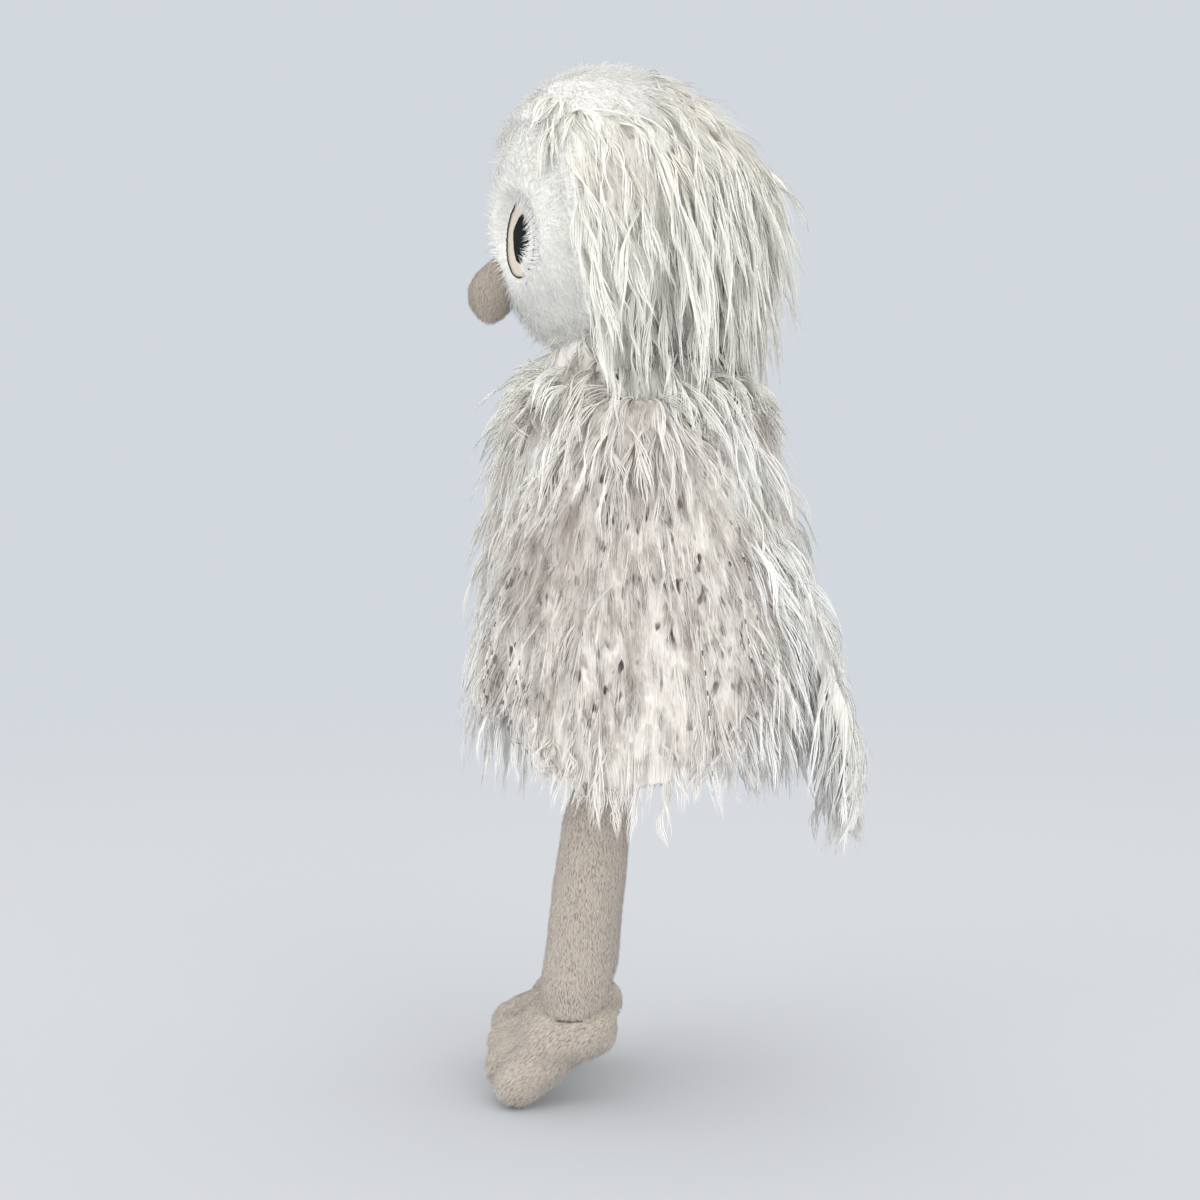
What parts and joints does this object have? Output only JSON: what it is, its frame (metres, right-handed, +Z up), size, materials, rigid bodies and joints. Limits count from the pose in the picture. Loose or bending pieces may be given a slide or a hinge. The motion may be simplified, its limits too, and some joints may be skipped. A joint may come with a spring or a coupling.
{
  "type": "plush owl",
  "caption": "Long-legged shaggy plush owl with a round head, beak, spotted wings, tail and soft legs and feet that hinge at their seams.",
  "frame": {"origin": "under the middle of the owl's box, level with its lowest toe", "axes": "+Z up, -Y the way the owl faces, +X its left side"},
  "size_m": [0.1426, 0.1882, 0.489],
  "materials": {
    "cream_fur": "long shaggy pile",
    "face_plush": "short fluffy pile",
    "spotted_fur": "long pile with dark flecks",
    "beige_plush": "short velvety pile",
    "stuffing": "loose polyester fibre",
    "pellets": "plastic pellets in a cloth bag",
    "brown_thread": "embroidered satin stitch",
    "cream_thread": "embroidered satin stitch",
    "black_thread": "embroidered satin stitch"
  },
  "bodies": {
    "torso": {"torso_front_coat": "cream_fur", "torso_back_coat": "cream_fur", "torso_stuffing": "stuffing", "pellet_bag": "pellets"},
    "neck": {"neck_stuffing": "stuffing"},
    "head": {"face_panel": "face_plush", "head_back_coat": "cream_fur", "head_stuffing": "stuffing", "beak_skin": "beige_plush", "beak_stuffing": "stuffing", "left_eye_outline": "brown_thread", "left_eye_ring": "cream_thread", "left_eye_pupil": "black_thread", "right_eye_outline": "brown_thread", "right_eye_ring": "cream_thread", "right_eye_pupil": "black_thread"},
    "left_wing": {"left_wing_coat": "spotted_fur", "left_wing_lining": "beige_plush"},
    "right_wing": {"right_wing_coat": "spotted_fur", "right_wing_lining": "beige_plush"},
    "tail": {"tail_coat": "cream_fur", "tail_lining": "beige_plush"},
    "left_leg": {"left_leg_skin": "beige_plush", "left_leg_stuffing": "stuffing"},
    "right_leg": {"right_leg_skin": "beige_plush", "right_leg_stuffing": "stuffing"},
    "left_foot": {"left_foot_upper": "beige_plush", "left_foot_sole": "beige_plush", "left_foot_stuffing": "stuffing"},
    "right_foot": {"right_foot_upper": "beige_plush", "right_foot_sole": "beige_plush", "right_foot_stuffing": "stuffing"}
  },
  "joints": [
    {"name": "neck_turn", "type": "hinge", "parent": "torso", "child": "neck", "pos_m": [0, -0.01566, 0.34487], "axis": [0, 0, 1], "range_deg": [-30, 30], "stiffness_Nm_per_rad": 1},
    {"name": "head_nod", "type": "hinge", "parent": "neck", "child": "head", "pos_m": [0, -0.01566, 0.34487], "axis": [1, 0, 0], "range_deg": [-12, 18], "stiffness_Nm_per_rad": 2, "springref_deg": -0.23},
    {"name": "left_wing_lift", "type": "hinge", "parent": "torso", "child": "left_wing", "pos_m": [0.04279, -0.01116, 0.32887], "axis": [0, -1, 0], "range_deg": [0, 75]},
    {"name": "right_wing_lift", "type": "hinge", "parent": "torso", "child": "right_wing", "pos_m": [-0.04279, -0.01116, 0.32887], "axis": [0, 1, 0], "range_deg": [0, 75]},
    {"name": "tail_lift", "type": "hinge", "parent": "torso", "child": "tail", "pos_m": [0, 0.05802, 0.23487], "axis": [1, 0, 0], "range_deg": [-12, 40], "stiffness_Nm_per_rad": 0.3, "springref_deg": 0.2},
    {"name": "left_hip_swing", "type": "hinge", "parent": "torso", "child": "left_leg", "pos_m": [0.032, -0.02666, 0.16658], "axis": [-1, 0, 0], "range_deg": [-35, 75], "stiffness_Nm_per_rad": 0.1, "springref_deg": 1.01},
    {"name": "left_ankle_rock", "type": "hinge", "parent": "left_leg", "child": "left_foot", "pos_m": [0.032, -0.04246, 0.04661], "axis": [1, 0, 0], "range_deg": [-24.5, 15.5], "stiffness_Nm_per_rad": 0.1, "springref_deg": -0.26},
    {"name": "right_hip_swing", "type": "hinge", "parent": "torso", "child": "right_leg", "pos_m": [-0.032, -0.02666, 0.16658], "axis": [-1, 0, 0], "range_deg": [-35, 75], "stiffness_Nm_per_rad": 0.1, "springref_deg": 0.89},
    {"name": "right_ankle_rock", "type": "hinge", "parent": "right_leg", "child": "right_foot", "pos_m": [-0.032, -0.03721, 0.04604], "axis": [1, 0, 0], "range_deg": [-9.5, 30.5], "stiffness_Nm_per_rad": 0.1, "springref_deg": -0.4}
  ]
}
